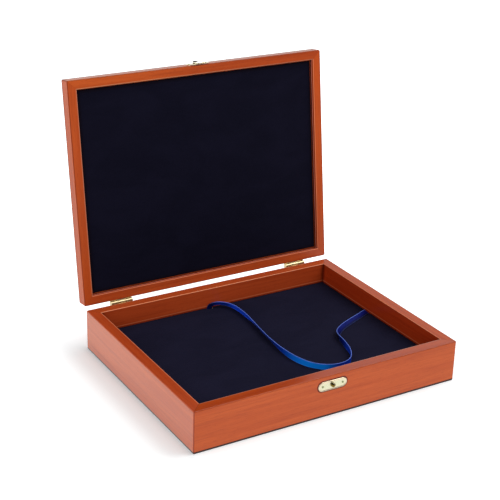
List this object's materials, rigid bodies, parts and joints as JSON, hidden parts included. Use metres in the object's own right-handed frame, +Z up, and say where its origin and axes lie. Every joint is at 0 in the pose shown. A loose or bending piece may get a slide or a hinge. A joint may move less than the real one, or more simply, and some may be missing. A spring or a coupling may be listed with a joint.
{
  "type": "coin display box",
  "caption": "Hinged wooden coin case, lined with velvet, with stop hinges that hold the lid open, a hasp that drops over a knob, and a loose lifting ribbon.",
  "frame": {"origin": "centre of the base's flat underside, on the surface that the case stands on", "axes": "+X along the front to the right, +Y towards the hinges, +Z up"},
  "size_m": [0.305, 0.2921, 0.2887],
  "materials": {
    "lacquered_wood": "reddish cherry stain under satin lacquer",
    "raw_wood": "plain planed wood, unfinished",
    "bottom_board": "thin stained board, satin",
    "velvet": "short-pile navy velvet",
    "lining_card": "dull stiff board",
    "satin_ribbon": "narrow satin ribbon, bright blue",
    "brass": "bright plated brass"
  },
  "bodies": {
    "base": {"base_front_wall": "lacquered_wood", "base_back_wall": "lacquered_wood", "base_left_wall": "lacquered_wood", "base_right_wall": "lacquered_wood", "base_bottom_panel": "bottom_board", "floor_batten_front": "raw_wood", "floor_batten_back": "raw_wood", "floor_batten_left": "raw_wood", "floor_batten_right": "raw_wood", "floor_board": "raw_wood", "floor_velvet": "velvet", "lifting_ribbon": "satin_ribbon", "hinge_left_base_leaf": "brass", "hinge_right_base_leaf": "brass", "hinge_left_pin": "brass", "hinge_right_pin": "brass", "catch_base_plate": "brass", "catch_knob": "brass", "base_plate_nails": "brass"},
    "lid": {"lid_front_rail": "lacquered_wood", "lid_back_rail": "lacquered_wood", "lid_left_rail": "lacquered_wood", "lid_right_rail": "lacquered_wood", "lid_top_panel": "lacquered_wood", "lid_lining_card": "lining_card", "lid_velvet": "velvet", "hinge_left_lid_leaf": "brass", "hinge_right_lid_leaf": "brass", "lid_catch_plate": "brass", "lid_plate_nails": "brass", "hasp_pin": "brass"},
    "hasp": {"hasp": "brass"}
  },
  "joints": [
    {"name": "lid_hinge", "type": "hinge", "parent": "base", "child": "lid", "pos_m": [0, 0.1227, 0.04515], "axis": [1, 0, 0], "range_deg": [0, 97.4]},
    {"name": "hasp_hinge", "type": "hinge", "parent": "lid", "child": "hasp", "pos_m": [0, 0.15436, 0.28739], "axis": [1, 0, 0], "range_deg": [0, 180]}
  ]
}
